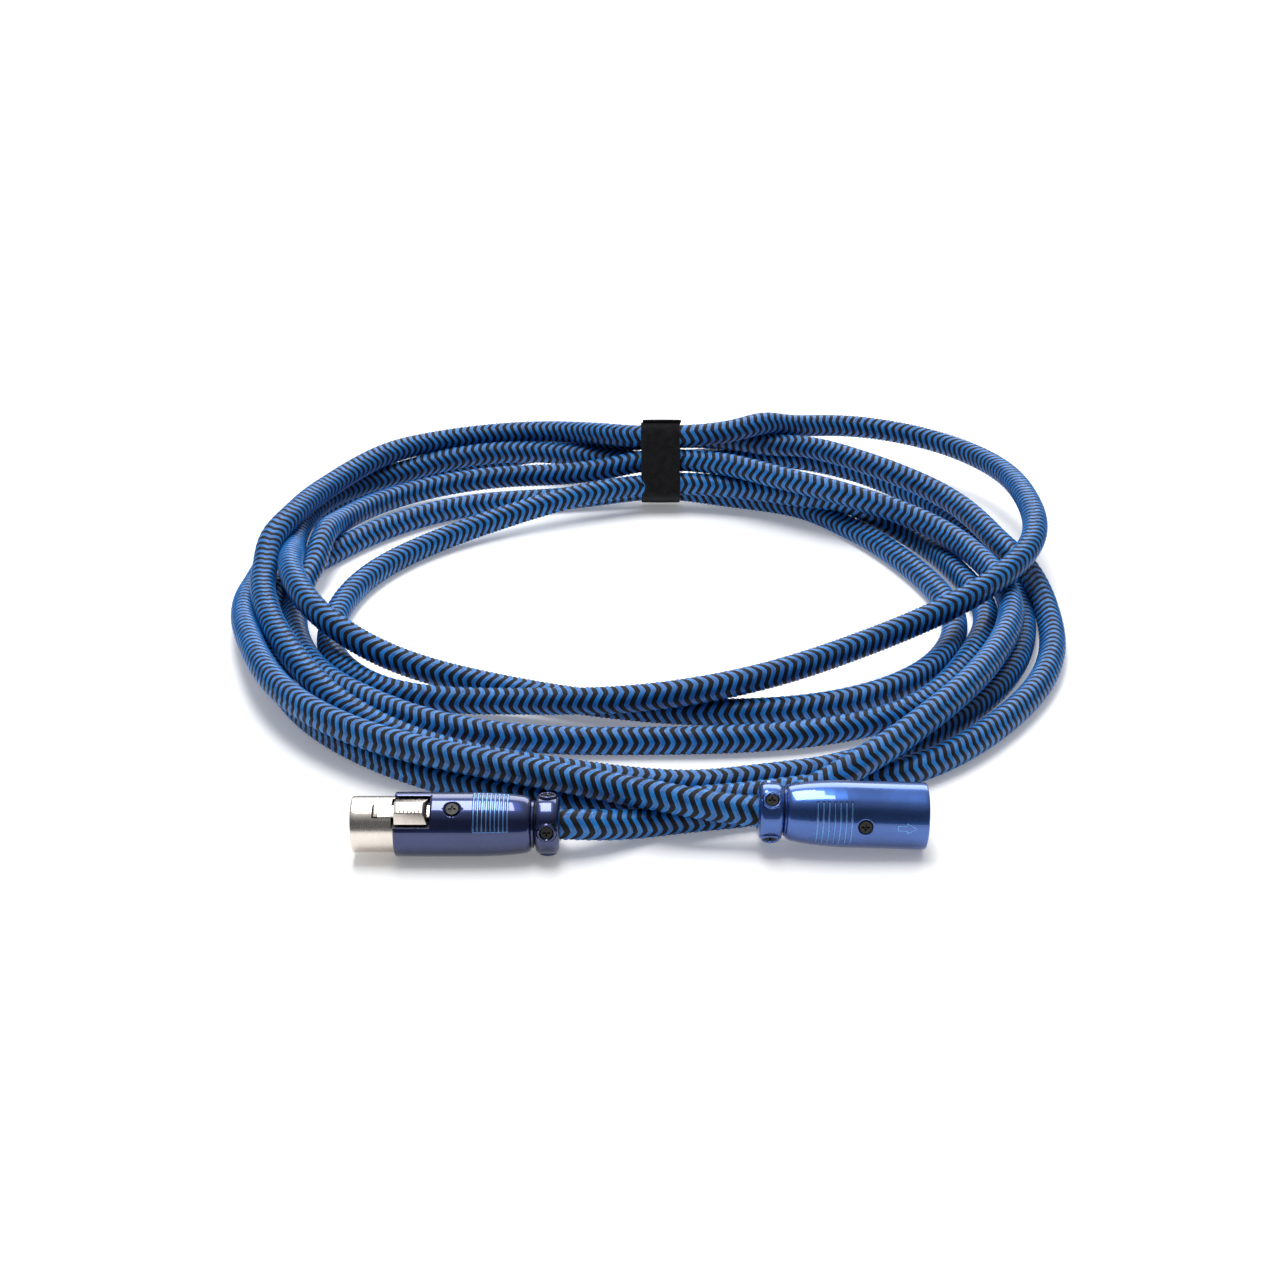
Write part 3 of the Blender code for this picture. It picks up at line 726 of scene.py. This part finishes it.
def make_male_shell(seat):
    lines = [MALE_LINE_START + MALE_LINE_STEP * k for k in range(MALE_LINES)]

    def relief(x, radius, angle):
        cut = groove_depth(x, angle, lines, MALE_GROOVE, MALE_LINE_REACH)
        cut = cut + recess_depth(x, angle, MALE_SCREW_X, MALE_RECESS, MALE_SHELL_R)
        return -np.where(radius > MALE_OUTER_R, cut, 0)

    def mark(x, radius, angle):
        across = np.min([np.abs(x - line) for line in lines], axis=0)
        inside = np.abs(turn_from(angle, KEY_DEGREES)) < radians(MALE_LINE_REACH) - 0.02
        return (across < MALE_BARE) & inside & (radius > MALE_OUTER_R)

    # (x, radius) from the collar's end to the mating end, and back inside
    outer = [(SHELL_START, 6.2), (SHELL_START, 6.7), (7.5, 6.95), (7.9, 7.1), (8.1, 7.5), (8.6, 7.9),
             (9.4, 8.18), (10.5, 8.42), (12, 8.68), (13.5, 8.9), (16, 9.2), (18.5, 9.43), (21.5, 9.62),
             (25, MALE_SHELL_R), *rim(MALE_SHELL_END, MALE_SHELL_R, 0.55), (MALE_SHELL_END, 8.9)]
    inner = [(MALE_SHELL_END - 0.4, CUP_R), (14.5, CUP_R), (12.5, 6.2)]
    fine = ((lines[0] - 0.5, lines[-1] + 0.5, 0.11), (27.8, 33.0, 0.12))
    angles = key_angles(((MALE_LINE_REACH - 3, 1.2), (MALE_LINE_REACH + 3, 0.8), (180, 5)))
    mesh = turned("male_shell", shell_outline(outer, inner, fine), angles, relief, mark)
    finish_solid(mesh)
    screw_hole = rod_mesh(MALE_SCREW_X, KEY_DEGREES, SCREW_HOLE_SPAN, SCREW_HOLE_R)
    mesh = carved(with_materials(mesh, MALE_BLUE, ENGRAVED), [screw_hole])
    place_solid("male_shell_skin", mesh, seat, "blue_shell", "male_shell")


def make_arrow(seat):
    """The outline arrow that shows which way the signal goes, engraved near the male shell's rim."""
    shape = ARROW_SHAPE
    bm = bmesh.new()
    rings = []
    for lift in (ARROW_TOP, ARROW_ROOT):
        for inset in (0.0, ARROW_STROKE):
            ring = []
            for before, here, after in zip((shape[-1], *shape[:-1]), shape, (*shape[1:], shape[0])):
                first = (Vector(here) - Vector(before)).orthogonal().normalized()
                second = (Vector(after) - Vector(here)).orthogonal().normalized()
                corner = (first + second) / (1 + first @ second)
                x, side = Vector(here) + corner * inset
                angle = KEY + side / MALE_SHELL_R
                radius = MALE_SHELL_R + lift
                ring.append(bm.verts.new(Vector((x, radius * cos(angle), radius * sin(angle))) * MM))
            rings.append(ring)
    outer_top, inner_top, outer_low, inner_low = rings
    for one, other in ((outer_top, inner_top), (outer_low, inner_low), (outer_top, outer_low),
                       (inner_top, inner_low)):
        for k in range(len(shape)):
            n = (k + 1) % len(shape)
            bm.faces.new((one[k], one[n], other[n], other[k]))
    mesh = bpy.data.meshes.new("arrow")
    bm.to_mesh(mesh)
    bm.free()
    finish_solid(mesh)
    place_solid("signal_arrow", with_materials(mesh, ENGRAVED), seat, "blue_shell")


def make_collar(prefix, seat, material):
    """The clamp ring: four flat round bosses, each with a sunk hole for its screw."""
    def relief(x, radius, angle):
        turns = [turn_from(angle, clamp) for clamp in CLAMP_ANGLES]
        nearest = np.take_along_axis(np.stack(turns), np.argmin(np.abs(turns), 0)[None], 0)[0]
        away = np.hypot(x - BOSS_X, BOSS_TOP * np.sin(nearest))
        flat = BOSS_TOP / np.cos(nearest)
        rise = (flat - radius) * (1 - soft_step(away, BOSS_R - 0.35, BOSS_R + 0.12))
        chamfer = 0.28 * soft_step(away, BOSS_R - 0.75, BOSS_R - 0.3) * (away < BOSS_R + 0.1)
        hole = 0.75 * (1 - soft_step(away, CLAMP_HOLE_R, 2.1))
        edge = 0.16 * (1 - soft_step(away, 2.1, 2.4)) * (away > 2.05)
        return np.where(radius > COLLAR_OUTER_R, rise - chamfer - hole - edge, 0)

    outline = np.concatenate([
        refined([(0, 5.15), (0, 6.4), (0.25, 7.2), (0.6, 7.75), (1.1, 8.15), (1.7, 8.36), (2.4, 8.45),
                 (5.2, 8.45), (5.9, 8.36), (6.45, 8.12), (6.85, 7.72), (7.0, 7.2)], 0.16),
        refined([(COLLAR_LENGTH, 6.2), (0.85, 6.2), (0.85, 5.0), (0.25, 4.95)], 1.0)])
    mesh = turned(f"{prefix}_collar", outline, even_angles(288), relief)
    finish_solid(mesh)
    holes = [rod_mesh(BOSS_X, angle, CLAMP_HOLE_SPAN, CLAMP_HOLE_R) for angle in CLAMP_ANGLES]
    mesh = carved(with_materials(mesh, material), holes)
    place_solid(f"{prefix}_collar_skin", mesh, seat, "blue_shell", f"{prefix}_collar")


def make_nose(seat):
    """The mating tube with a rounded rim and the stepped opening for the latch."""
    outline = np.concatenate([
        refined([(NOSE_START, NOSE_R), *rim(NOSE_END, NOSE_R, 0.5), (NOSE_END, 7.35)], 1.2),
        refined([(NOSE_END - 0.25, NOSE_BORE_R), (NOSE_START, NOSE_BORE_R)], 1.2)])
    mesh = turned("nose", outline, even_angles(144))
    finish_solid(mesh)
    x, z = LATCH_PIVOT
    hinge = box_mesh((34.2, -3.4, 4), (38.4, 3.4, 10))
    pad = box_mesh((36.9, -4.7, 4), (47.8, 4.7, 10))
    tongue = box_mesh((45.0, -2.25, 4), (53.3, 2.25, 10))
    pin = box_mesh((x - 0.9, -9, z - 0.9), (x + 0.9, 9, z + 0.9))
    mesh = carved(with_materials(mesh, NICKEL), [hinge, pad, tongue, pin])
    place_solid("female_nose_skin", mesh, seat, "nickel", "female_nose")


def make_latch(seat):
    """The locking lever: thumb pad with grip ribs, tongue, eye and hook, measured from its hinge."""
    x, z = LATCH_PIVOT
    pad = box_mesh((1.8, -4.2, 1.1), (11.3, 4.2, 3.6), edge=0.22, taper=0.42, slant=1.3)
    tongue = box_mesh((-1.0, -1.9, 0.7), (17.2, 1.9, 1.5), edge=0.12)
    eye = box_mesh((-1.0, -1.9, -0.7), (1.1, 1.9, 1.2), edge=0.3)
    hook = box_mesh((16.0, -1.9, 1.1), (17.2, 1.9, 2.4), edge=0.15)
    ribs = []
    for k in range(LATCH_RIBS):
        shift = LATCH_RIB_STEP * k
        ribs.append(box_mesh((3.9 + shift, -1.62, 3.3), (4.42 + shift, 1.62, 3.98), edge=0.14))
    mesh = carved(with_materials(pad, NICKEL), [tongue, eye, hook, *ribs], "UNION")
    hole = bmesh.new()
    bmesh.ops.create_cone(hole, cap_ends=True, segments=24, radius1=LATCH_BORE_R * MM,
                          radius2=LATCH_BORE_R * MM, depth=8 * MM)
    hole.transform(Matrix.Rotation(pi / 2, 4, "X"))
    bore = bpy.data.meshes.new("bore")
    hole.to_mesh(bore)
    hole.free()
    mesh = carved(mesh, [bore])
    mesh.transform(Matrix.Translation((x * MM, 0, z * MM)))
    place_solid("female_latch_skin", mesh, seat, "nickel", "female_latch", body=LATCH)


# ---------------------------------------------------------------- tie

def tie_point(share, grow):
    """The (y, z) at a share of the way round the tie, grow millimetres off the cords."""
    cords = [Vector(c) for c in TIE_CORDS]
    radius = CORD_D / 2 + grow
    # An arc round each cord (middle, first direction, turn) and a straight side to the next one
    # (from, to, direction), each with its length at the end.
    spans = []
    for before, here, after in zip((cords[-1], *cords), cords, (*cords[1:], cords[0])):
        start = (here - before).orthogonal() * -1
        turn = start.angle_signed((after - here).orthogonal() * -1)
        outward = (after - here).orthogonal().normalized() * -1
        spans += [("arc", here, start.normalized(), -turn, abs(turn) * CORD_D / 2),
                  ("side", here, after, outward, (after - here).length)]
    left = (share % 1) * sum(span[-1] for span in spans)
    for kind, *data, length in spans:
        if left <= length:
            break
        left -= length
    if kind == "arc":
        middle, first, turn = data
        outward = first.copy()
        outward.rotate(Matrix.Rotation(turn * left / length, 2))
        return middle + outward * radius
    here, after, outward = data
    return here.lerp(after, left / length) + outward * radius


def make_tie():
    """A strip of napped tape wound once round the bundle and over its own start."""
    ring = []
    for k in range(TIE_POINTS + 1):
        t = k / TIE_POINTS * TIE_TURNS
        overlap = TIE_STEP * soft_step(t, 0.86, 1.0)
        loose_end = TIE_LIFT * soft_step(t, TIE_TURNS - 0.03, TIE_TURNS)
        ring.append((tie_point(TIE_START + t, float(TIE_GAP + overlap + loose_end)), t))
    half, thick, edge = TIE_WIDTH / 2, TIE_LAYER, TIE_EDGE
    section = [(-half + edge, 0), (half - edge, 0), (half, edge), (half, thick - edge),
               (half - edge, thick), (half * 0.5, thick + 0.08), (0, thick + 0.1),
               (-half * 0.5, thick + 0.08), (-half + edge, thick), (-half, thick - edge), (-half, edge)]
    rows = []
    for k, (place, t) in enumerate(ring):
        before, after = ring[max(k - 1, 0)][0], ring[min(k + 1, TIE_POINTS)][0]
        ahead = (after - before).normalized()
        outward = -ahead.orthogonal()
        skew = TIE_SKEW * (t - 0.6)
        wave = 0.12 * sin(31 * t) + 0.08 * sin(53 * t)
        rows.append([(TIE_X + skew + x * (1 + 0.012 * wave) + wave * 0.5,
                      *(place + outward * (depth + 0.05 * wave))) for x, depth in section])
    mesh = grid_mesh("tie", np.array(rows), False, caps=True)
    finish_solid(mesh, 60)
    add_piece("tie_band", mesh, (TIE_NAP,), CABLE, "tie", "tie_strap")


# ---------------------------------------------------------------- CAD nodes that keep their shape

def dress_nodes():
    """Procedural looks for the CAD nodes that are shown as they are."""
    looks = {"insert": BLACK_PLASTIC, "contact": GOLD, "pin_1": GOLD, "pin_2": GOLD, "pin_3": GOLD,
             "latch_pin": SPRING, "spring": SPRING, "screw": BLACK_STEEL, "bush": RUBBER,
             "bare": COPPER, "red": RED_WIRE, "blue": BLUE_WIRE}
    for name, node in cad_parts.items():
        for word, material in looks.items():
            if word in name:
                node.data.materials.clear()
                node.data.materials.append(material)
                break


def make_connectors():
    """Both connectors' pieces, made on their own axes and set in their places."""
    female = seat_matrix(CORD_EXIT, FEMALE_TURN)
    male = seat_matrix(MALE_SEAT, MALE_TURN)
    make_female_shell(female)
    make_collar("female", female, FEMALE_BLUE)
    make_nose(female)
    make_latch(female)
    make_male_shell(male)
    make_collar("male", male, MALE_BLUE)
    make_arrow(male)


# ---------------------------------------------------------------- camera and studio

def make_camera():
    """The photograph's view."""
    data = bpy.data.cameras.new("camera")
    data.lens = CAMERA_LENS
    data.sensor_width = 36.0
    data.clip_start = 0.01
    camera = bpy.data.objects.new("camera", data)
    bpy.context.scene.collection.objects.link(camera)
    angle = radians(CAMERA_ELEVATION)
    back = Vector((0, -cos(angle), sin(angle))) * CAMERA_DISTANCE
    camera.location = (Vector(LOOK_AT) + back) * MM
    camera.rotation_euler = (pi / 2 - angle, 0, 0)
    bpy.context.scene.camera = camera


def area_light(name, place, target, size, energy):
    """A rectangular light that faces its target."""
    data = bpy.data.lights.new(name, "AREA")
    data.shape = "RECTANGLE"
    data.size, data.size_y = size
    data.energy = energy
    light = bpy.data.objects.new(name, data)
    bpy.context.scene.collection.objects.link(light)
    light.location = place
    light.rotation_euler = (Vector(target) - Vector(place)).to_track_quat("-Z", "Y").to_euler()


def make_studio():
    """White paper under the cable, the room and the lights."""
    mesh = bpy.data.meshes.new("floor")
    corners = [(x * FLOOR_HALF, y * FLOOR_HALF, 0) for x, y in ((-1, -1), (1, -1), (1, 1), (-1, 1))]
    mesh.from_pydata(corners, [], [(0, 1, 2, 3)])
    floor = bpy.data.objects.new("floor", mesh)
    bpy.context.scene.collection.objects.link(floor)
    material, tree, shader = new_material(
        "white_paper", (0.93, 0.93, 0.93), 0.6, Specular_IOR_Level=0.2,
        Emission_Color=(1, 1, 1, 1), Emission_Strength=FLOOR_GLOW)
    tone = noise_node(tree, 3.0, 2.0)
    tree.links.new(ramp(tree, tone, (0.3, 0.925), (0.7, 0.935)), shader.inputs["Base Color"])
    mesh.materials.append(material)
    make_room()
    for light in LIGHTS:
        area_light(*light)
    bpy.context.scene.view_settings.view_transform = "Standard"


def make_room():
    """Light from all round: dark low in front, and bright overhead and behind."""
    world = bpy.data.worlds.new("studio")
    world.use_nodes = True
    tree = world.node_tree
    where = tree.nodes.new("ShaderNodeTexCoord")
    weigh = tree.nodes.new("ShaderNodeVectorMath")
    weigh.operation = "DOT_PRODUCT"
    weigh.inputs[1].default_value = (0, 0.45, 1.0)
    tree.links.new(where.outputs["Generated"], weigh.inputs[0])
    grade = ramp(tree, weigh.outputs["Value"], (0.35, (0.15, 0.155, 0.165)), (0.95, (0.93, 0.96, 1.0)))
    background = tree.nodes["Background"]
    tree.links.new(grade, background.inputs["Color"])
    background.inputs["Strength"].default_value = ROOM_STRENGTH
    bpy.context.scene.world = world


make_camera()
make_studio()
make_cord()
make_tie()
make_connectors()
dress_nodes()
